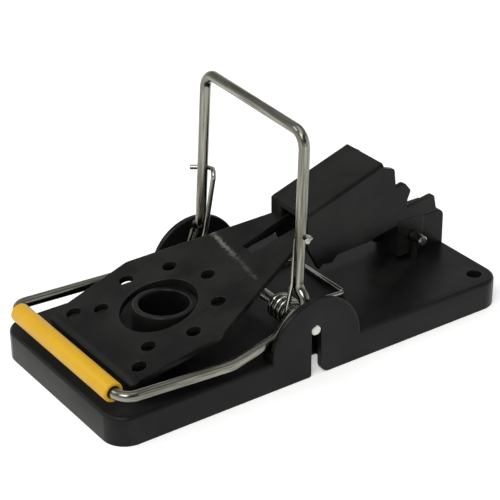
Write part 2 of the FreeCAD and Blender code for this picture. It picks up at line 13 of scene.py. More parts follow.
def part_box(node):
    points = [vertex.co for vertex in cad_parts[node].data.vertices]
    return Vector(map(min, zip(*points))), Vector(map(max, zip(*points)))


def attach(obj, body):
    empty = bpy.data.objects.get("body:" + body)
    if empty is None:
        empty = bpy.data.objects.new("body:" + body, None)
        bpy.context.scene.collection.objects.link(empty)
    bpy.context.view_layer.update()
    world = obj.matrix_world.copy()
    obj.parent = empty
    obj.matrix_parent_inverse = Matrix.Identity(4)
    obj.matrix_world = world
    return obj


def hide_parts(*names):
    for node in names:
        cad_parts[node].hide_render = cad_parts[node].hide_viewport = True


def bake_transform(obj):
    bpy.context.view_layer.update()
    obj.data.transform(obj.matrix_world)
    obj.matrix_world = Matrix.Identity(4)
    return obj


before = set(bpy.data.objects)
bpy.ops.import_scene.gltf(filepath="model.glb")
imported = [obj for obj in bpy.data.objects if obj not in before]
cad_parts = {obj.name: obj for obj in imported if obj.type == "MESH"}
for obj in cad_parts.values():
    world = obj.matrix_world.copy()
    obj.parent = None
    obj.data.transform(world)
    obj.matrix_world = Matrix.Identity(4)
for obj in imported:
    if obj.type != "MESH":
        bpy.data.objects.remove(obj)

# A sprung snap mouse trap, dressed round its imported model.
# Metres, +Z up, +X towards the rear bracket, so the yellow sleeve lies at -X. The near side is at -Y.

MM = 0.001
LOG = logging.getLogger("snap_trap")

Colour = tuple[float, float, float]
Point = tuple[float, float, float]
Surface = tuple[NodeSocket, NodeSocket, NodeSocket]

# The meshes' own attributes that the materials read
EDGE_ATTRIBUTE = "edge"
WIRE_ATTRIBUTE = "wire"

FLOAT = "NodeSocketFloat"
VECTOR = "NodeSocketVector"

# Nearly all of a noise's values lie in this band
NOISE_BAND = (0.3, 0.7)


class Side(Enum):
    """The two halves of the trap, by the sign of their Y."""

    NEAR = -1
    FAR = 1


class Slot(Enum):
    """The material slots."""

    PLASTIC = "black_plastic"
    NICKEL = "nickel_wire"
    STEEL = "steel_rod"
    SLEEVE = "yellow_sleeve"


# Node trees

class NodeSheet:
    """A node tree with short ways to add nodes and join them."""

    def __init__(self, tree: NodeTree) -> None:
        """Keep the tree that the nodes go into."""
        self.tree = tree

    def feed(self, node: Node, inputs: dict[Any, Any]) -> None:
        """Set or join a node's inputs.

        Args:
            node: The node.
            inputs: A value or another node's output for each named or numbered input.
        """
        for key, value in inputs.items():
            if isinstance(value, NodeSocket):
                self.tree.links.new(value, node.inputs[key])
            else:
                node.inputs[key].default_value = value

    def add(self, kind: str, inputs: dict[Any, Any] | None = None, **settings: Any) -> Node:
        """Add one node.

        Args:
            kind: The node's type name.
            inputs: A value or another node's output for each named or numbered input.
            settings: Properties of the node itself.

        Returns:
            The new node.
        """
        node = self.tree.nodes.new(kind)
        for name, value in settings.items():
            setattr(node, name, value)
        self.feed(node, inputs or {})
        return node

    def math(self, operation: str, first: Any, second: Any = 0.0, clamp: bool = False) -> NodeSocket:
        """Add one sum in numbers.

        Args:
            operation: The math node's operation.
            first: The first number or output.
            second: The second number or output.
            clamp: Whether the result is held between 0 and 1.

        Returns:
            The result's output.
        """
        kind = "ShaderNodeMath"
        return self.add(kind, {0: first, 1: second}, operation=operation, use_clamp=clamp).outputs[0]

    def vector(
        self, operation: str, first: Any, second: Any = (0.0, 0.0, 0.0), out: str = "Vector"
    ) -> NodeSocket:
        """Add one sum in vectors.

        Args:
            operation: The vector math node's operation.
            first: The first vector or output.
            second: The second vector or output.
            out: The output that is wanted, Vector or Value.

        Returns:
            That output.
        """
        return self.add("ShaderNodeVectorMath", {0: first, 1: second}, operation=operation).outputs[out]

    def span(
        self, value: Any, low: float, high: float, to_low: float = 0.0, to_high: float = 1.0
    ) -> NodeSocket:
        """Map a stretch of one value smoothly on to another.

        Args:
            value: The output that is mapped.
            low: Where the stretch starts.
            high: Where it ends.
            to_low: The result at its start.
            to_high: The result at its end.

        Returns:
            The mapped output.
        """
        inputs = {"Value": value, "From Min": low, "From Max": high, "To Min": to_low, "To Max": to_high}
        return self.add("ShaderNodeMapRange", inputs, interpolation_type="SMOOTHSTEP").outputs["Result"]

    def mix(self, share: Any, first: Any, second: Any) -> NodeSocket:
        """Mix two colours.

        Args:
            share: How much of the second shows, from 0 to 1.
            first: The first colour or output.
            second: The second colour or output.

        Returns:
            The mixed colour's output.
        """
        node = self.add("ShaderNodeMix", data_type="RGBA")
        one, other = (i for i, socket in enumerate(node.inputs) if socket.type == "RGBA")
        self.feed(node, {0: share, one: first, other: second})
        return next(socket for socket in node.outputs if socket.type == "RGBA")

    def own_place(self) -> NodeSocket:
        """The coordinates of the object itself."""
        return self.add("ShaderNodeTexCoord").outputs["Object"]

    def noise(self, place: NodeSocket, scale: Any, detail: float) -> NodeSocket:
        """Add a noise.

        Args:
            place: The coordinates that it is read at.
            scale: How fine it is.
            detail: How many finer layers it has.

        Returns:
            Its grey output.
        """
        inputs = {"Vector": place, "Scale": scale, "Detail": detail}
        return self.add("ShaderNodeTexNoise", inputs).outputs["Fac"]


def blank(owner: Material | World) -> NodeSheet:
    """Give a material or a world an empty node tree.

    Args:
        owner: The material or world.

    Returns:
        The tree's sheet.
    """
    owner.use_nodes = True
    owner.node_tree.nodes.clear()
    return NodeSheet(owner.node_tree)


def opaque(colour: Colour, gain: float = 1.0) -> tuple[float, float, float, float]:
    """The colour with full alpha, brightened by a gain."""
    return colour[0] * gain, colour[1] * gain, colour[2] * gain, 1.0


def new_group(
    name: str, kind: str, inputs: dict[str, tuple[str, Any]], outputs: dict[str, str]
) -> tuple[NodeSheet, NodeOutputs, Node]:
    """Start a node group.

    Args:
        name: The group's name.
        kind: ShaderNodeTree or GeometryNodeTree.
        inputs: For each input's name, its socket type and its default, or None.
        outputs: For each output's name, its socket type.

    Returns:
        The group's sheet, the values given to it, and its output node.
    """
    tree = bpy.data.node_groups.new(name, kind)
    for label, (socket_type, default) in inputs.items():
        socket = tree.interface.new_socket(name=label, in_out="INPUT", socket_type=socket_type)
        if default is not None:
            socket.default_value = default
    for label, socket_type in outputs.items():
        tree.interface.new_socket(name=label, in_out="OUTPUT", socket_type=socket_type)
    sheet = NodeSheet(tree)
    return sheet, sheet.add("NodeGroupInput").outputs, sheet.add("NodeGroupOutput")


class Effects:
    """The shader groups that several finishes share."""

    PATCH_SCALE = 0.35
    PATCH_BAND = (0.4, 0.7)
    WOBBLE_SCALE = 900.0
    LINE_RAGGED = (0.25, 0.75, 0.3, 1.6)
    LINE_FADE = (0.15, 0.7, 1.0, 0.22)
    LINE_GAPS = (0.3, 0.52)
    LOOKS_UP = 0.5

    def __init__(self) -> None:
        """Build every group once."""
        self.grain = self.build_grain()
        self.streaks = self.build_streaks()
        self.scuff = self.build_scuff()
        self.specks = self.build_specks()

    def place(self, sheet: NodeSheet, tree: NodeTree, **values: Any) -> NodeOutputs:
        """Put a group in a material.

        Args:
            sheet: The material's sheet.
            tree: The group.
            values: Its inputs by name.

        Returns:
            The group's outputs.
        """
        return sheet.add("ShaderNodeGroup", values, node_tree=tree).outputs

    def build_grain(self) -> NodeTree:
        """A mould's fine grain, and the slow unevenness of a large moulded face.

        Returns:
            The group.
        """
        sheet, given, result = new_group(
            "Moulded grain",
            "ShaderNodeTree",
            {"Grain": (FLOAT, 3000.0), "Drift": (FLOAT, 60.0)},
            {"Height": FLOAT, "Unevenness": FLOAT},
        )
        place = sheet.own_place()
        fine = sheet.noise(place, given["Grain"], detail=3.0)
        slow = sheet.noise(place, given["Drift"], detail=4.0)
        sheet.feed(result, {"Height": fine, "Unevenness": sheet.span(slow, *NOISE_BAND)})
        return sheet.tree

    def build_streaks(self) -> NodeTree:
        """Fine lines that run along a drawn wire and dull patches, read from the wire's own attribute.

        Returns:
            The group.
        """
        sheet, given, result = new_group(
            "Drawn streaks",
            "ShaderNodeTree",
            {"Across": (FLOAT, 6.0), "Along": (FLOAT, 90.0)},
            {"Streaks": FLOAT, "Patches": FLOAT},
        )
        place = sheet.add("ShaderNodeAttribute", attribute_name=WIRE_ATTRIBUTE).outputs["Vector"]
        across, along = given["Across"], given["Along"]
        scale = sheet.add("ShaderNodeCombineXYZ", {0: across, 1: across, 2: along}).outputs[0]
        drawn = sheet.vector("MULTIPLY", place, scale)
        streaks = sheet.span(sheet.noise(drawn, 1.0, detail=5.0), *NOISE_BAND)
        patches = sheet.span(sheet.noise(drawn, self.PATCH_SCALE, detail=2.0), *self.PATCH_BAND)
        sheet.feed(result, {"Streaks": streaks, "Patches": patches})
        return sheet.tree

    def build_scuff(self) -> NodeTree:
        """A broken pale line from one point to another, as a crease leaves in stressed plastic.

        Returns:
            The group.
        """
        sheet, given, result = new_group(
            "Stress line",
            "ShaderNodeTree",
            {"Start": (VECTOR, None), "End": (VECTOR, None), "Width": (FLOAT, 0.0004)},
            {"Mask": FLOAT},
        )
        place = sheet.own_place()
        wobble = sheet.noise(place, self.WOBBLE_SCALE, detail=3.0)
        run = sheet.vector("SUBTRACT", given["End"], given["Start"])
        offset = sheet.vector("SUBTRACT", place, given["Start"])
        reach = sheet.vector("DOT_PRODUCT", offset, run, "Value")
        along = sheet.math("DIVIDE", reach, sheet.vector("DOT_PRODUCT", run, run, "Value"), clamp=True)
        nearest = sheet.add("ShaderNodeVectorMath", {0: run, "Scale": along}, operation="SCALE").outputs[0]
        apart = sheet.vector("LENGTH", sheet.vector("SUBTRACT", offset, nearest), out="Value")
        ragged = sheet.math("MULTIPLY", given["Width"], sheet.span(wobble, *self.LINE_RAGGED))
        close = sheet.math("SUBTRACT", 1.0, sheet.math("DIVIDE", apart, ragged), clamp=True)
        faded = sheet.math("MULTIPLY", close, sheet.span(along, *self.LINE_FADE))
        broken = sheet.math("MULTIPLY", faded, sheet.span(wobble, *self.LINE_GAPS), clamp=True)
        sheet.feed(result, {"Mask": broken})
        return sheet.tree

    def build_specks(self) -> NodeTree:
        """A few pale specks of dust on faces that look up.

        Returns:
            The group.
        """
        sheet, given, result = new_group(
            "Dust specks",
            "ShaderNodeTree",
            {"Scale": (FLOAT, 250.0), "Share": (FLOAT, 0.05), "Radius": (FLOAT, 0.06)},
            {"Mask": FLOAT},
        )
        coords = sheet.add("ShaderNodeTexCoord").outputs
        grid = {"Vector": coords["Object"], "Scale": given["Scale"]}
        cells = sheet.add("ShaderNodeTexVoronoi", grid).outputs
        draw = sheet.add("ShaderNodeSeparateColor", {0: cells["Color"]}).outputs[0]
        chosen = sheet.math("LESS_THAN", draw, given["Share"])
        inside = sheet.math("LESS_THAN", cells["Distance"], given["Radius"])
        upward = sheet.add("ShaderNodeSeparateXYZ", {0: coords["Normal"]}).outputs["Z"]
        facing = sheet.math("GREATER_THAN", upward, self.LOOKS_UP)
        mask = sheet.math("MULTIPLY", sheet.math("MULTIPLY", chosen, inside), facing)
        sheet.feed(result, {"Mask": mask})
        return sheet.tree


# Finishes

@dataclass(frozen=True)
class Finish:
    """What every finish has: a name, a material slot, a colour and the shader's constants."""

    name: str
    slot: Slot
    colour: Colour
    roughness: float = 0.4
    specular: float = 0.5
    metallic: float = 0.0
    relief: float = 0.2
    relief_depth: float = 0.02 * MM

    def surface(self, sheet: NodeSheet, effects: Effects) -> Surface:
        """Add the nodes for what changes over the surface.

        Args:
            sheet: The material's sheet.
            effects: The shared groups.

        Returns:
            The colour, the roughness and the height of the fine relief.
        """
        raise NotImplementedError

    def material(self, effects: Effects) -> Material:
        """Build the material, with one Principled shader.

        Args:
            effects: The shared groups.

        Returns:
            The material.
        """
        material = bpy.data.materials.new(self.name)
        material.diffuse_color = opaque(self.colour)
        sheet = blank(material)
        shader = sheet.add(
            "ShaderNodeBsdfPrincipled",
            {
                "Base Color": opaque(self.colour),
                "Roughness": self.roughness,
                "Specular IOR Level": self.specular,
                "Metallic": self.metallic,
            },
        )
        sheet.add("ShaderNodeOutputMaterial", {"Surface": shader.outputs[0]})
        colour, roughness, height = self.surface(sheet, effects)
        relief = {"Height": height, "Strength": self.relief, "Distance": self.relief_depth}
        bump = sheet.add("ShaderNodeBump", relief).outputs["Normal"]
        sheet.feed(shader, {"Base Color": colour, "Roughness": roughness, "Normal": bump})
        return material


@dataclass(frozen=True)
class MouldedPlastic(Finish):
    """Charcoal black plastic with a fine mould grain, a little dust, and edges lightened by wear and
    painted highlight.
    """

    roughness: float = 0.42
    specular: float = 0.15
    relief: float = 0.5
    smoother: float = 0.05
    rougher: float = 0.06
    edge_roughness: float = 0.24
    # How much lighter the rounded edges are: partly wear, partly a painted highlight
    edge_wear_and_highlight_gain: float = 3.0
    dark_gain: float = 0.85
    pale_gain: float = 1.15
    crease: tuple[Point, Point] | None = None
    crease_colour: Colour = (0.17, 0.16, 0.145)
    dust_colour: Colour = (0.2, 0.2, 0.185)

    def surface(self, sheet: NodeSheet, effects: Effects) -> Surface:
        """Add the plastic's nodes.

        Args:
            sheet: The material's sheet.
            effects: The shared groups.

        Returns:
            The colour, the roughness and the height.
        """
        grain = effects.place(sheet, effects.grain, Grain=2600.0, Drift=70.0)
        uneven = grain["Unevenness"]
        edge = sheet.add("ShaderNodeAttribute", attribute_name=EDGE_ATTRIBUTE).outputs["Fac"]
        body = sheet.mix(uneven, opaque(self.colour, self.dark_gain), opaque(self.colour, self.pale_gain))
        # Rounded edges lightened in colour: partly wear, partly a painted highlight on the rounding
        rubbed_and_highlit = sheet.mix(sheet.math("MULTIPLY", edge, uneven), body, opaque(self.colour, self.edge_wear_and_highlight_gain))
        specks = effects.place(sheet, effects.specks, Scale=130.0, Share=0.02, Radius=0.035)
        top = sheet.mix(specks["Mask"], rubbed_and_highlit, opaque(self.dust_colour))
        if self.crease:
            start, end = self.crease
            line = effects.place(sheet, effects.scuff, Start=start, End=end, Width=0.85 * MM)
            top = sheet.mix(line["Mask"], top, opaque(self.crease_colour))
        faces = sheet.span(uneven, 0.0, 1.0, self.roughness - self.smoother, self.roughness + self.rougher)
        worn = sheet.math("MULTIPLY", edge, self.roughness - self.edge_roughness)
        return top, sheet.math("SUBTRACT", faces, worn), grain["Height"]


@dataclass(frozen=True)
class PlatedWire(Finish):
    """Bright nickel on drawn wire, with lines along it and dull patches."""

    roughness: float = 0.11
    metallic: float = 1.0
    relief: float = 0.12
    dull_roughness: float = 0.24
    shade: Colour = (0.13, 0.126, 0.1)
    patch_share: float = 0.6
    patch_gain: float = 0.8

    def surface(self, sheet: NodeSheet, effects: Effects) -> Surface:
        """Add the wire's nodes.

        Args:
            sheet: The material's sheet.
            effects: The shared groups.

        Returns:
            The colour, the roughness and the height.
        """
        drawn = effects.place(sheet, effects.streaks, Across=2.6, Along=90.0)
        streaks = drawn["Streaks"]
        lined = sheet.mix(streaks, opaque(self.colour), opaque(self.shade))
        patches = sheet.math("MULTIPLY", drawn["Patches"], self.patch_share)
        toned = sheet.mix(patches, lined, opaque(self.shade, self.patch_gain))
        dull = sheet.span(streaks, 0.0, 1.0, self.roughness, self.dull_roughness)
        return toned, dull, streaks


@dataclass(frozen=True)
class TurnedSteel(Finish):
    """Plain steel rod with fine lines round it."""

    roughness: float = 0.25
    metallic: float = 1.0
    rougher: float = 0.2
    dark_gain: float = 0.75
    line_scale: Point = (300.0, 5000.0, 300.0)

    def surface(self, sheet: NodeSheet, effects: Effects) -> Surface:
        """Add the rod's nodes.

        Args:
            sheet: The material's sheet.
            effects: The shared groups.

        Returns:
            The colour, the roughness and the height.
        """
        drawn = sheet.add("ShaderNodeMapping", {"Vector": sheet.own_place(), "Scale": self.line_scale})
        lines = sheet.noise(drawn.outputs[0], 1.0, detail=4.0)
        grain = effects.place(sheet, effects.grain, Grain=1500.0, Drift=400.0)
        toned = sheet.mix(grain["Unevenness"], opaque(self.colour, self.dark_gain), opaque(self.colour))
        turned = sheet.span(lines, *NOISE_BAND, self.roughness, self.roughness + self.rougher)
        return toned, turned, lines


@dataclass(frozen=True)
class ExtrudedTube(Finish):
    """Golden yellow tube with faint lines along it from the die."""

    roughness: float = 0.36
    specular: float = 0.28
    relief: float = 0.25
    relief_depth: float = 0.03 * MM
    smoother: float = 0.05
    rougher: float = 0.08
    deep: Colour = (0.62, 0.3, 0.008)
    deep_share: float = 0.35
    line_scale: Point = (1400.0, 60.0, 1400.0)

    def surface(self, sheet: NodeSheet, effects: Effects) -> Surface:
        """Add the sleeve's nodes.

        Args:
            sheet: The material's sheet.
            effects: The shared groups.

        Returns:
            The colour, the roughness and the height.
        """
        drawn = sheet.add("ShaderNodeMapping", {"Vector": sheet.own_place(), "Scale": self.line_scale})
        lines = sheet.noise(drawn.outputs[0], 1.0, detail=3.0)
        grain = effects.place(sheet, effects.grain, Grain=2000.0, Drift=160.0)
        share = sheet.math("MULTIPLY", grain["Unevenness"], self.deep_share)
        toned = sheet.mix(share, opaque(self.colour), opaque(self.deep))
        low, high = self.roughness - self.smoother, self.roughness + self.rougher
        return toned, sheet.span(lines, *NOISE_BAND, low, high), lines


# Studio

def placed(name: str, data: Any) -> Object:
    """Link a new object at the origin.

    Args:
        name: The name of the object and of its data.
        data: Its mesh, lamp or camera.

    Returns:
        The object.
    """
    data.name = name
    thing = bpy.data.objects.new(name, data)
    bpy.context.scene.collection.objects.link(thing)
    return thing


@dataclass(frozen=True)
class PhotoCamera:
    """The photograph's viewpoint, solved from the outline of the trap."""

    eye: Point = (-225.6 * MM, -321.3 * MM, 233.8 * MM)
    heading: float = 34.8
    drop: float = 28.28
    roll: float = -0.47
    focal_pixels: float = 1745.6
    frame_pixels: float = 500.0
    sensor: float = 36.0
    nearest: float = 10 * MM
    farthest: float = 20.0

    def stand(self) -> None:
        """Put the camera there and make it the scene's."""
        data = bpy.data.cameras.new("photo_camera")
        data.sensor_width = self.sensor
        data.lens = self.focal_pixels / self.frame_pixels * self.sensor
        data.clip_start = self.nearest
        data.clip_end = self.farthest
        camera = placed("photo_camera", data)
        heading, drop = math.radians(self.heading), math.radians(self.drop)
        level = math.cos(drop)
        way = Vector((math.sin(heading) * level, math.cos(heading) * level, -math.sin(drop)))
        turn = way.to_track_quat("-Z", "Y").to_matrix().to_4x4()
        tilt = Matrix.Rotation(math.radians(self.roll), 4, "Z")
        camera.matrix_world = Matrix.Translation(self.eye) @ turn @ tilt
        bpy.context.scene.camera = camera


@dataclass(frozen=True)
class Softbox:
    """A square white area lamp that looks at the trap."""

    name: str
    place: Point
    size: float
    power: float

    def hang(self) -> None:
        """Add the lamp, turned towards the origin."""
        data = bpy.data.lights.new(self.name, "AREA")
        data.size = self.size
        data.energy = self.power
        lamp = placed(self.name, data)
        lamp.location = self.place
        lamp.rotation_mode = "QUATERNION"
        lamp.rotation_quaternion = (-Vector(self.place)).to_track_quat("-Z", "Y")


@dataclass(frozen=True)
class Studio:
    """A pale floor, a room that is white near the horizon and grey above, and soft lamps.

    The room's heights and its near side are components of the direction that is looked in.
    """

    floor_radius: float = 6.0
    floor_sides: int = 64
    floor_colour: Colour = (0.78, 0.78, 0.77)
    floor_glow: float = 0.42
    near_edge: float = 0.25
    far_edge: float = 1.1
    horizon: float = 1.0
    ceiling: float = 0.5
    white_up_to: float = 0.2
    grey_from: float = 0.45
    near_wall: float = 0.2
    near_wall_from: float = -0.1
    near_wall_full: float = -0.6
    overhead: float = 0.8
    overhead_from: float = 0.84
    overhead_full: float = 0.93
    lamps: tuple[Softbox, ...] = (
        Softbox("key_softbox", (-0.55, -0.35, 0.85), size=0.5, power=5.2),
        Softbox("fill_softbox", (0.75, -0.75, 0.55), size=0.7, power=1.2),
        Softbox("back_softbox", (-0.65, 0.55, 0.8), size=0.5, power=2.6),
    )

    def build(self) -> None:
        """Lay the floor, light the room and set the view."""
        self.lay_floor()
        self.paint_room()
        for lamp in self.lamps:
            lamp.hang()
        bpy.context.scene.view_settings.view_transform = "Standard"

    def lay_floor(self) -> None:
        """A round floor that keeps the shadow. Only the eye, reflections and glass see its glow."""
        mesh = bpy.data.meshes.new("floor")
        shape = bmesh.new()
        bmesh.ops.create_circle(shape, cap_ends=True, radius=self.floor_radius, segments=self.floor_sides)
        shape.to_mesh(mesh)
        shape.free()
        material = bpy.data.materials.new("floor_paper")
        sheet = blank(material)
        paper = sheet.add("ShaderNodeBsdfDiffuse", {"Color": opaque(self.floor_colour)})
        apart = sheet.vector("LENGTH", sheet.own_place(), out="Value")
        glow = sheet.span(apart, self.near_edge, self.far_edge, self.floor_glow, 1.0)
        path = sheet.add("ShaderNodeLightPath").outputs
        eye = sheet.math("ADD", path["Is Camera Ray"], path["Is Glossy Ray"])
        seen = sheet.math("ADD", eye, path["Is Transmission Ray"], clamp=True)
        shine = sheet.add("ShaderNodeEmission", {"Strength": sheet.math("MULTIPLY", glow, seen)})
        both = sheet.add("ShaderNodeAddShader", {0: paper.outputs[0], 1: shine.outputs[0]})
        sheet.add("ShaderNodeOutputMaterial", {"Surface": both.outputs[0]})
        mesh.materials.append(material)
        placed("floor", mesh)

    def paint_room(self) -> None:
        """Light the room: white about the horizon, grey above, dim on the near side, bright overhead."""
        world = bpy.data.worlds.new("studio_room")
        bpy.context.scene.world = world
        sheet = blank(world)
        way = sheet.add("ShaderNodeTexCoord").outputs["Generated"]
        parts = sheet.add("ShaderNodeSeparateXYZ", {0: way}).outputs
        height = parts["Z"]
        walls = sheet.span(height, self.white_up_to, self.grey_from, self.horizon, self.ceiling)
        above = sheet.span(height, self.white_up_to, self.grey_from)
        near = sheet.span(parts["Y"], self.near_wall_full, self.near_wall_from, 1.0, 0.0)
        unlit = sheet.math("MULTIPLY", sheet.math("MULTIPLY", near, above), 1.0 - self.near_wall)
        shaded = sheet.math("MULTIPLY", walls, sheet.math("SUBTRACT", 1.0, unlit))
        overhead = sheet.span(height, self.overhead_from, self.overhead_full, 0.0, self.overhead)
        room = sheet.add("ShaderNodeBackground", {"Strength": sheet.math("ADD", shaded, overhead)})
        sheet.add("ShaderNodeOutputWorld", {"Surface": room.outputs[0]})


# Meshes and pieces

def baked(piece: Object) -> Object:
    """Swap a piece's modifiers for the plain mesh that they make.

    Args:
        piece: An object with modifiers.

    Returns:
        The same object, without them.
    """
    graph = bpy.context.evaluated_depsgraph_get()
    mesh = bpy.data.meshes.new_from_object(piece.evaluated_get(graph))
    piece.modifiers.clear()
    mesh.name = piece.name
    piece.data = mesh
    return piece


def grown(name: str, mesh: Mesh, tree: NodeTree, values: dict[str, Any]) -> Object:
    """Make a piece with a geometry tree.

    Args:
        name: The piece's name.
        mesh: What the tree starts from.
        tree: The geometry tree.
        values: Its inputs by name.

    Returns:
        The piece, as a plain mesh.
    """
    piece = placed(name, mesh)
    modifier = piece.modifiers.new(name, "NODES")
    modifier.node_group = tree
    for item in tree.interface.items_tree:
        if item.item_type == "SOCKET" and item.in_out == "INPUT" and item.name in values:
            modifier[item.identifier] = values[item.name]
    return baked(piece)


def shade(piece: Object, sharp_from: float = 40.0) -> Object:
    """Smooth a piece's shading, except across its sharp edges.

    Args:
        piece: The piece.
        sharp_from: The angle in degrees from which an edge is sharp.

    Returns:
        The same piece.
    """
    shape = bmesh.new()
    shape.from_mesh(piece.data)
    for face in shape.faces:
        face.smooth = True
    for edge in shape.edges:
        edge.smooth = edge.calc_face_angle(0.0) < math.radians(sharp_from)
    shape.to_mesh(piece.data)
    shape.free()
    return piece


def tell(piece: Object) -> None:
    """Log a finished piece."""
    LOG.info("%s: %d faces", piece.name, len(piece.data.polygons))


class Axis(Enum):
    """The direction that a cutting plane looks in."""

    X = (1.0, 0.0, 0.0)
    Y = (0.0, 1.0, 0.0)
    Z = (0.0, 0.0, 1.0)


@dataclass
class SoftenedMoulding:
    """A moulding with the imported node's shape, whose outer edges are rounded as a mould rounds them.

    The rounding needs faces without holes, so a face that has holes is first cut through them.
    """

    node: str
    body: str
    finish: MouldedPlastic
    cuts: tuple[tuple[Axis, float], ...]
    edge_radius: float = 0.22 * MM
    segments: int = 3
    weld: float = 0.002 * MM
    cut_snap: float = 0.06 * MM
    flat_within: float = 0.4
    round_from: float = 50.0
    sharp_from: float = 36.0
    normal_weight: int = 60
    bent_from: float = 0.05
    tight: float = 0.35 * MM
    gentle: float = 1.2 * MM

    def cleaned(self) -> Mesh:
        """Copy the node's mesh with closed seams and whole flat faces, and mark its sharp outer edges.

        Returns:
            The copy, without materials.
        """
        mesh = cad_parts[self.node].data.copy()
        shape = bmesh.new()
        shape.from_mesh(mesh)
        bmesh.ops.remove_doubles(shape, verts=shape.verts, dist=self.weld)
        for axis, place in self.cuts:
            way = Vector(axis.value)
            everything = shape.verts[:] + shape.edges[:] + shape.faces[:]
            cut = bmesh.ops.bisect_plane(
                shape, geom=everything, dist=self.cut_snap, plane_co=way * place, plane_no=way
            )
            for edge in cut["geom_cut"]:
                if isinstance(edge, bmesh.types.BMEdge):
                    edge.seam = True
        bmesh.ops.dissolve_limit(
            shape,
            angle_limit=math.radians(self.flat_within),
            verts=shape.verts,
            edges=shape.edges,
            delimit={"SEAM"},
        )
        sharpness = shape.edges.layers.float.new("bevel_weight_edge")
        for edge in shape.edges:
            if edge.is_convex and edge.calc_face_angle(0.0) > math.radians(self.round_from):
                edge[sharpness] = 1.0
        for face in shape.faces:
            face.material_index = 0
            face.smooth = True
        shape.to_mesh(mesh)
        shape.free()
        mesh.materials.clear()
        return mesh

    def build(self, material: Material) -> None:
        """Make the moulding and put it in the node's place.

        Args:
            material: The plastic.
        """
        mesh = self.cleaned()
        mesh.materials.append(material)
        piece = placed(self.node + "_moulding", mesh)
        rounding = piece.modifiers.new("rounded edges", "BEVEL")
        rounding.width = self.edge_radius
        rounding.segments = self.segments
        rounding.limit_method = "WEIGHT"
        rounding.use_clamp_overlap = False
        rounding.miter_outer = "MITER_ARC"
        shade(baked(piece), self.sharp_from)
        level = piece.modifiers.new("flat faces", "WEIGHTED_NORMAL")
        level.weight = self.normal_weight
        level.keep_sharp = True
        baked(piece)
        self.mark_edges(piece.data)
        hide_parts(self.node)
        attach(piece, self.body)
        tell(piece)

    def mark_edges(self, mesh: Mesh) -> None:
        """Write to an attribute how tightly each point is rounded outwards, from 0 to 1.

        Args:
            mesh: The finished moulding.
        """
        shape = bmesh.new()
        shape.from_mesh(mesh)
        marks = [0.0] * len(shape.verts)
        for edge in shape.edges:
            if not edge.is_manifold:
                continue
            bend = edge.calc_face_angle_signed(0.0)
            middle = (edge.verts[0].co + edge.verts[1].co) / 2
            width = 2 * min((face.calc_center_median() - middle).length for face in edge.link_faces)
            radius = width / bend if bend > self.bent_from else math.inf
            mark = (self.gentle - radius) / (self.gentle - self.tight)
            for vertex in edge.verts:
                marks[vertex.index] = max(marks[vertex.index], min(1.0, mark))
        shape.free()
        mesh.attributes.new(EDGE_ATTRIBUTE, "FLOAT", "POINT").data.foreach_set("value", marks)


# Wires

def wire_tree() -> NodeTree:
    """A round wire that follows a chain of edges, with its own coordinates stored on it.

    Returns:
        The geometry tree.
    """
    sheet, given, result = new_group(
        "Bent wire",
        "GeometryNodeTree",
        {
            "Geometry": ("NodeSocketGeometry", None),
            "Diameter": (FLOAT, 0.002),
            "Sides": ("NodeSocketInt", 32),
            "Material": ("NodeSocketMaterial", None),
        },
        {"Geometry": "NodeSocketGeometry"},
    )
    path = sheet.add("GeometryNodeMeshToCurve", {"Mesh": given["Geometry"]}).outputs["Curve"]
    finish_wire(sheet, given, result, path)
    return sheet.tree


def coil_tree() -> NodeTree:
    """A coil of wire wound about an axis along Y.

    Returns:
        The geometry tree.
    """
    sheet, given, result = new_group(
        "Spring coil",
        "GeometryNodeTree",
        {
            "Geometry": ("NodeSocketGeometry", None),
            "Radius": (FLOAT, 0.003),
            "Pitch": (FLOAT, 0.0018),
            "Turns": (FLOAT, 4.0),
            "First Angle": (FLOAT, 0.0),
            "First Y": (FLOAT, 0.0),
            "Side": (FLOAT, -1.0),
            "Axis Point": (VECTOR, None),
            "Steps": ("NodeSocketInt", 200),
            "Diameter": (FLOAT, 0.0013),
            "Sides": ("NodeSocketInt", 24),
            "Material": ("NodeSocketMaterial", None),
        },
        {"Geometry": "NodeSocketGeometry"},
    )
    line = sheet.add("GeometryNodeCurvePrimitiveLine", {"End": (0.0, 0.0, 1.0)}).outputs["Curve"]
    points = sheet.add("GeometryNodeResampleCurve", {"Curve": line, "Count": given["Steps"]}).outputs[0]
    share = sheet.add("GeometryNodeSplineParameter").outputs["Factor"]
    turned = sheet.math("MULTIPLY", share, given["Turns"])
    angle = sheet.math("ADD", sheet.math("MULTIPLY", turned, math.tau), given["First Angle"])
    x = sheet.math("MULTIPLY", sheet.math("COSINE", angle), given["Radius"])
    z = sheet.math("MULTIPLY", sheet.math("SINE", angle), given["Radius"])
    inward = sheet.math("MULTIPLY", turned, given["Pitch"])
    y = sheet.math("MULTIPLY", sheet.math("SUBTRACT", given["First Y"], inward), given["Side"])
    round_axis = sheet.add("ShaderNodeCombineXYZ", {0: x, 1: y, 2: z}).outputs[0]
    place = sheet.vector("ADD", round_axis, given["Axis Point"])
    path = sheet.add("GeometryNodeSetPosition", {"Geometry": points, "Position": place}).outputs["Geometry"]
    finish_wire(sheet, given, result, path)
    return sheet.tree


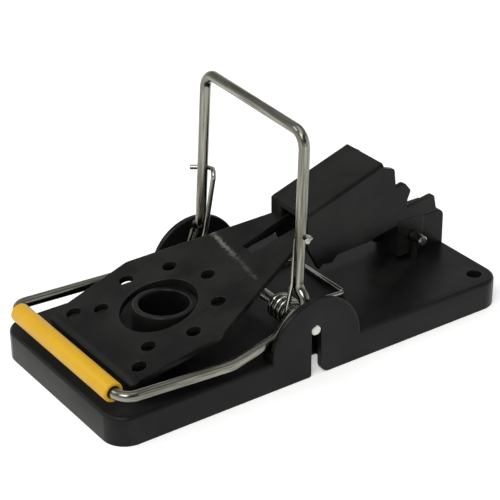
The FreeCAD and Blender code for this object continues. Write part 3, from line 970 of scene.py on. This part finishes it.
def finish_wire(sheet: NodeSheet, given: NodeOutputs, result: Node, path: NodeSocket) -> None:
    """Give a path its round section, its stored coordinates and its material.

    Args:
        sheet: The tree's sheet.
        given: The values given to it, among them Diameter, Sides and Material.
        result: Its output node.
        path: The curve that the wire follows.
    """
    radius = sheet.math("MULTIPLY", given["Diameter"], 0.5)
    ring = {"Resolution": given["Sides"], "Radius": radius}
    section = sheet.add("GeometryNodeCurvePrimitiveCircle", ring)
    across = sheet.add("GeometryNodeCaptureAttribute", {0: section.outputs["Curve"]})
    across.capture_items.new("VECTOR", "Across")
    sheet.feed(across, {1: sheet.add("GeometryNodeInputPosition").outputs[0]})
    along = sheet.add("GeometryNodeCaptureAttribute", {0: path})
    along.capture_items.new("FLOAT", "Along")
    sheet.feed(along, {1: sheet.add("GeometryNodeSplineParameter").outputs["Length"]})
    tube = sheet.add(
        "GeometryNodeCurveToMesh",
        {"Curve": along.outputs[0], "Profile Curve": across.outputs[0], "Fill Caps": True},
    )
    parts = sheet.add("ShaderNodeSeparateXYZ", {0: across.outputs[1]}).outputs
    x = sheet.math("DIVIDE", parts["X"], radius)
    y = sheet.math("DIVIDE", parts["Y"], radius)
    own = sheet.add("ShaderNodeCombineXYZ", {0: x, 1: y, 2: along.outputs[1]})
    stored = sheet.add(
        "GeometryNodeStoreNamedAttribute",
        {"Geometry": tube.outputs["Mesh"], "Name": WIRE_ATTRIBUTE, "Value": own.outputs[0]},
        data_type="FLOAT_VECTOR",
        domain="POINT",
    )
    whole = sheet.add("GeometryNodeRealizeInstances", {"Geometry": stored.outputs[0]})
    dress = {"Geometry": whole.outputs[0], "Material": given["Material"]}
    sheet.feed(result, {"Geometry": sheet.add("GeometryNodeSetMaterial", dress).outputs[0]})


@dataclass(frozen=True)
class Winding:
    """Turns of wire about the axle on the near side, wound from the side wall inwards."""

    radius: float
    turns: float
    first_y: float
    last_y: float
    first_angle: float = math.pi
    axis_x: float = -2.0 * MM
    axis_z: float = 13.0 * MM

    @property
    def rise(self) -> float:
        """How far the wire climbs along Y in a radian."""
        return (self.last_y - self.first_y) / (self.turns * math.tau)

    def reach(self, turn: float) -> tuple[float, float]:
        """The wire's X and Z from the axle after so many turns."""
        angle = self.first_angle + turn * math.tau
        return self.radius * math.cos(angle), self.radius * math.sin(angle)

    def point(self, turn: float) -> Vector:
        """The wire's middle after so many turns."""
        x, z = self.reach(turn)
        return Vector((self.axis_x + x, self.first_y + turn * math.tau * self.rise, self.axis_z + z))

    def way(self, turn: float) -> Vector:
        """The direction of travel after so many turns."""
        x, z = self.reach(turn)
        return Vector((-z, self.rise, x)).normalized()


class WirePath:
    """A wire's middle line, built up run by run."""

    STEP = math.radians(5.0)
    SHORTEST = 0.01 * MM

    def __init__(self, *points: Vector) -> None:
        """Start with one point or more."""
        self.points = list(points)

    def corner(self, corner: Vector, after: Vector, radius: float) -> None:
        """Go on to a corner and round it.

        Args:
            corner: Where the two runs would meet.
            after: The next point of the route, which sets the way out.
            radius: The bend's radius.
        """
        back = (self.points[-1] - corner).normalized()
        ahead = (after - corner).normalized()
        half_turn = (math.pi - back.angle(ahead)) / 2
        centre = corner + (back + ahead).normalized() * radius / math.cos(half_turn)
        arm = corner + back * radius * math.tan(half_turn) - centre
        axis = arm.cross(-back).normalized()
        steps = max(2, round(2 * half_turn / self.STEP))
        for step in range(steps + 1):
            turn = Matrix.Rotation(2 * half_turn * step / steps, 3, axis)
            self.points.append(centre + turn @ arm)

    def straight(self, end: Vector) -> None:
        """Go straight on to a point."""
        self.points.append(end)

    def ease(self, end: Vector, way: Vector, steps: int = 12) -> None:
        """Curve on to a point and arrive along a direction.

        Args:
            end: The point.
            way: The unit direction of travel there.
            steps: How many runs the curve has.
        """
        start = self.points[-1]
        leave = (start - self.points[-2]).normalized()
        reach = (end - start).length
        for step in range(1, steps + 1):
            t = step / steps
            hold_start = 2 * t ** 3 - 3 * t ** 2 + 1
            pull_start = t ** 3 - 2 * t ** 2 + t
            hold_end = 3 * t ** 2 - 2 * t ** 3
            pull_end = t ** 3 - t ** 2
            self.points.append(
                start * hold_start + leave * reach * pull_start + end * hold_end + way * reach * pull_end
            )

    def helix(self, coil: Winding) -> None:
        """Follow a winding from its first point to its last.

        Args:
            coil: The winding.
        """
        steps = round(coil.turns * math.tau / self.STEP)
        for step in range(1, steps + 1):
            self.points.append(coil.point(coil.turns * step / steps))

    def chain(self, name: str) -> Mesh:
        """Turn the path into a mesh of joined edges, without points that coincide.

        Args:
            name: The mesh's name.

        Returns:
            The mesh.
        """
        kept = [self.points[0]]
        for point in self.points[1:]:
            if (point - kept[-1]).length > self.SHORTEST:
                kept.append(point)
        mesh = bpy.data.meshes.new(name)
        mesh.from_pydata(kept, [(i, i + 1) for i in range(len(kept) - 1)], [])
        return mesh


def mirrored(points: Iterable[Vector]) -> list[Vector]:
    """The points on the other side of the trap."""
    return [Vector((p.x, -p.y, p.z)) for p in points]


def millimetres(*points: Sequence[float]) -> list[Vector]:
    """Points written in millimetres, as vectors in metres."""
    return [Vector(p) * MM for p in points]


@dataclass
class StrikerBail:
    """The bail: an upright U, an eye round the axle at each side, and a lower U for the sleeve.

    Its points are in millimetres. The legs and the lower U are given on the near side.
    """

    wire: float = 2.8 * MM
    sides: int = 40
    near_top: Point = (-1.5, -21.9, 63.45)
    far_top: Point = (0.9, 23.6, 63.5)
    leg: tuple[Point, ...] = ((-3, -21.6, 22.6), (-2.9, -24.5, 20.2), (-4.2, -24.55, 16.6))
    lower: tuple[Point, ...] = (
        (-12.4, -24.1, 11.75), (-26.5, -27, 11.2), (-57, -26.65, 12.8), (-57, -0.3, 12.8),
    )
    corner: float = 4.0 * MM
    bend: float = 3.0 * MM
    kink: float = 12.0 * MM
    lower_corner: float = 3.9 * MM
    eye: Winding = Winding(radius=2.85 * MM, turns=0.75, first_y=-24.65 * MM, last_y=-21.85 * MM)

    def half(self, middle: Vector, top: Vector) -> list[Vector]:
        """Bend the near half of the wire, from the middle of the upper bar to the middle of the lower one.

        Args:
            middle: The middle of the upper bar.
            top: The upper corner.

        Returns:
            The points of its middle line.
        """
        leg, lower = millimetres(*self.leg), millimetres(*self.lower)
        half = WirePath(middle)
        half.corner(top, leg[0], self.corner)
        half.corner(leg[0], leg[1], self.bend)
        half.corner(leg[1], leg[2], self.bend)
        half.straight(leg[2])
        half.ease(self.eye.point(0), self.eye.way(0))
        half.helix(self.eye)
        half.ease(lower[0], (lower[1] - lower[0]).normalized())
        half.corner(lower[1], lower[2], self.kink)
        half.corner(lower[2], lower[3], self.lower_corner)
        half.straight(lower[3])
        return half.points

    def path(self) -> WirePath:
        """Join both halves, from the wire's near end in the sleeve round to its far end.

        Returns:
            The whole wire.
        """
        near_top, far_top = millimetres(self.near_top, self.far_top)
        middle = (near_top + far_top) / 2
        near = self.half(middle, near_top)
        far = mirrored(self.half(*mirrored((middle, far_top))))
        return WirePath(*near[::-1], *far[1:])

    def build(self, tree: NodeTree, finish: PlatedWire, material: Material) -> None:
        """Bend the wire and hang it on the striker.

        Args:
            tree: The wire tree.
            finish: The wire's finish. Not used.
            material: Its material.
        """
        values = {"Diameter": self.wire, "Sides": self.sides, "Material": material}
        piece = shade(grown("bail_wire", self.path().chain("bail_wire"), tree, values))
        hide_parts("striker_bail")
        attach(piece, "striker")
        tell(piece)


@dataclass
class TorsionSpring:
    """The double spring: at each side a hooked arm, a coil and a leg, and a bridge between the legs.

    Its points are in millimetres, on the near side, also those of the far hook.
    """

    wire: float = 1.3 * MM
    sides: int = 24
    radius: float = 2.9 * MM
    turns: float = 4.25
    pitch: float = 1.76 * MM
    outer_y: float = 19.35 * MM
    steps_per_turn: int = 64
    near_hook: tuple[Point, ...] = (
        (-2.6, -24.7, 36.5), (-0.15, -22.9, 35.8), (-0.15, -19.9, 35.2),
        (-0.95, -18.1, 34.0), (-2.95, -19.0, 22.0), (-4.65, -19.4, 16.3),
    )
    far_hook: tuple[Point, ...] = (
        (-2.7, -26.6, 36.5), (0.55, -24.0, 36.6), (0.45, -20.6, 37.4),
        (-1.0, -17.9, 37.4), (-3.1, -19.35, 20.5), (-4.65, -19.4, 16.3),
    )
    hook_bend: float = 1.4 * MM
    arm_bend: float = 12.0 * MM
    leg_start: float = 3.0 * MM
    leg_bend: float = 8.0 * MM
    bridge_corner: Point = (19.7, -11.2, 8.72)
    bridge_middle: Point = (19.7, 0, 8.72)
    bridge_bend: float = 1.5 * MM

    def winding(self) -> Winding:
        """The near coil."""
        return Winding(self.radius, self.turns, -self.outer_y, -self.outer_y + self.turns * self.pitch)

    def arm(self, hook: tuple[Point, ...]) -> WirePath:
        """Bend an arm on the near side, from the hook's tip to the coil.

        Args:
            hook: The arm's points.

        Returns:
            Its middle line.
        """
        tip = millimetres(*hook)
        path = WirePath(tip[0])
        for index in (1, 2, 3):
            path.corner(tip[index], tip[index + 1], self.hook_bend)
        path.corner(tip[4], tip[5], self.arm_bend)
        path.straight(tip[5])
        coil = self.winding()
        path.ease(coil.point(0), coil.way(0))
        return path

    def bridge(self) -> WirePath:
        """Bend the legs and the bridge, from the near coil to the far one.

        Returns:
            Their middle line.
        """
        coil = self.winding()
        leave = coil.point(self.turns)
        corner, middle = millimetres(self.bridge_corner, self.bridge_middle)
        half = WirePath(leave)
        half.corner(leave + coil.way(self.turns) * self.leg_start, corner, self.leg_bend)
        half.corner(corner, middle, self.bridge_bend)
        half.straight(middle)
        return WirePath(*half.points, *mirrored(half.points[-2::-1]))

    def build(self, tree: NodeTree, coils: NodeTree, finish: PlatedWire, material: Material) -> None:
        """Make the spring in five pieces: the arms go with the striker and the bridge with the frame.

        Args:
            tree: The wire tree.
            coils: The coil tree.
            finish: The wire's finish. Not used.
            material: Its material.
        """
        wire = {"Diameter": self.wire, "Sides": self.sides, "Material": material}
        bridge = shade(grown("spring_bridge", self.bridge().chain("spring_bridge"), tree, wire))
        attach(bridge, "frame")
        pieces = [bridge]
        winding = self.winding()
        for side in Side:
            label = side.name.lower()
            arm = self.arm(self.near_hook if side is Side.NEAR else self.far_hook)
            if side is Side.FAR:
                arm = WirePath(*mirrored(arm.points))
            hook = shade(grown("spring_arm_" + label, arm.chain("spring_arm"), tree, wire))
            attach(hook, "striker")
            values = wire | {
                "Radius": self.radius,
                "Pitch": self.pitch,
                "Turns": self.turns,
                "First Angle": winding.first_angle,
                "First Y": self.outer_y,
                "Side": float(side.value),
                "Axis Point": (winding.axis_x, 0.0, winding.axis_z),
                "Steps": round(self.turns * self.steps_per_turn),
            }
            coil = shade(grown("spring_coil_" + label, bpy.data.meshes.new("coil"), coils, values))
            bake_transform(coil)
            pieces += [hook, coil]
        for piece in pieces:
            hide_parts("torsion_spring")
            tell(piece)


@dataclass
class GripSleeve:
    """The yellow tube on the lower bar, with softly rounded ends."""

    lip: float = 0.45 * MM
    bore: float = 1.7 * MM
    bore_lip: float = 0.2 * MM
    segments: int = 96
    lip_steps: int = 6
    sharp_from: float = 60.0

    def profile(self, radius: float, half: float) -> list[tuple[float, float]]:
        """Draw the tube's section, once round.

        Args:
            radius: The tube's outer radius.
            half: Half its length.

        Returns:
            Its points as (distance from the axis, distance along it).
        """
        outline = []
        corners = (
            (radius - self.lip, half - self.lip, self.lip, 0.0),
            (radius - self.lip, self.lip - half, self.lip, -90.0),
            (self.bore + self.bore_lip, self.bore_lip - half, self.bore_lip, 180.0),
            (self.bore + self.bore_lip, half - self.bore_lip, self.bore_lip, 90.0),
        )
        for across, along, size, first in corners:
            for step in range(self.lip_steps, -1, -1):
                angle = math.radians(first + 90.0 * step / self.lip_steps)
                outline.append((across + size * math.cos(angle), along + size * math.sin(angle)))
        return outline

    def build(self, finish: ExtrudedTube, material: Material) -> None:
        """Turn the tube about its bar and let it spin there.

        Args:
            finish: The tube's finish. Not used.
            material: Its material.
        """
        low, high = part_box("grip_sleeve")
        middle = (low + high) / 2
        outline = self.profile((high.x - low.x) / 2, (high.y - low.y) / 2)
        shape = bmesh.new()
        rings = []
        for step in range(self.segments):
            angle = math.tau * step / self.segments
            way = Vector((math.cos(angle), 0, math.sin(angle)))
            rings.append([shape.verts.new(middle + way * r + Vector((0, y, 0))) for r, y in outline])
        for ring, after in zip(rings, rings[1:] + rings[:1]):
            for i in range(len(outline)):
                j = (i + 1) % len(outline)
                shape.faces.new((ring[i], ring[j], after[j], after[i]))
        bmesh.ops.recalc_face_normals(shape, faces=shape.faces)
        mesh = bpy.data.meshes.new("sleeve_tube")
        shape.to_mesh(mesh)
        shape.free()
        mesh.materials.append(material)
        piece = shade(placed("sleeve_tube", mesh), self.sharp_from)
        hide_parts("grip_sleeve")
        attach(piece, "sleeve")
        tell(piece)


def dress_node(node: str, material: Material) -> None:
    """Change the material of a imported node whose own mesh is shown.

    Args:
        node: The node's name.
        material: The material.
    """
    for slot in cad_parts[node].material_slots:
        slot.material = material
    LOG.info("%s: packed node, new material", node)


def main() -> None:
    """Build every sub-assembly in order and report each piece."""
    logging.basicConfig(level=logging.INFO, format="%(message)s")
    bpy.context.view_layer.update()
    Studio().build()
    PhotoCamera().stand()
    effects = Effects()

    base_plastic = MouldedPlastic("base_plastic", Slot.PLASTIC, (0.0045, 0.0047, 0.0043))
    lever_plastic = MouldedPlastic(
        "lever_plastic", Slot.PLASTIC, (0.005, 0.0052, 0.0047),
        crease=((-4.9 * MM, 12.9 * MM, 23.37 * MM), (-8.6 * MM, -11.5 * MM, 22.36 * MM)),
    )
    nickel = PlatedWire("nickel_plate", Slot.NICKEL, (0.33, 0.325, 0.285))
    bright = PlatedWire(
        "spring_plate", Slot.NICKEL, (0.52, 0.52, 0.48), roughness=0.12, shade=(0.22, 0.22, 0.19)
    )
    steel = TurnedSteel("rod_steel", Slot.STEEL, (0.66, 0.66, 0.62))
    # The pin's steel is a darker copy of the rod's steel: painted shade on the pin
    painted_shade_steel = TurnedSteel("pin_painted_shade_steel", Slot.STEEL, (0.3, 0.3, 0.28), roughness=0.16)
    sleeve = ExtrudedTube("sleeve_yellow", Slot.SLEEVE, (0.68, 0.395, 0.01))

    walls = tuple((Axis.Y, y * MM) for y in (-22.4, 0.0, 22.4))
    axle_line = (Axis.X, -2.0 * MM)
    hole_rows = tuple((Axis.Y, y * MM) for y in (-15.6, -11.1, 0.0, 11.1, 15.6))
    pin_line = (Axis.Z, 15.5 * MM)
    for moulding in (
        SoftenedMoulding("base", "frame", base_plastic, (*walls, axle_line)),
        SoftenedMoulding("trip_lever", "lever", lever_plastic, (*hole_rows, pin_line)),
    ):
        moulding.build(moulding.finish.material(effects))
    wires, coils = wire_tree(), coil_tree()
    StrikerBail().build(wires, nickel, nickel.material(effects))
    TorsionSpring().build(wires, coils, bright, bright.material(effects))
    GripSleeve().build(sleeve, sleeve.material(effects))
    dress_node("axle", steel.material(effects))
    dress_node("lever_pin", painted_shade_steel.material(effects))


if __name__ == "__main__":
    main()
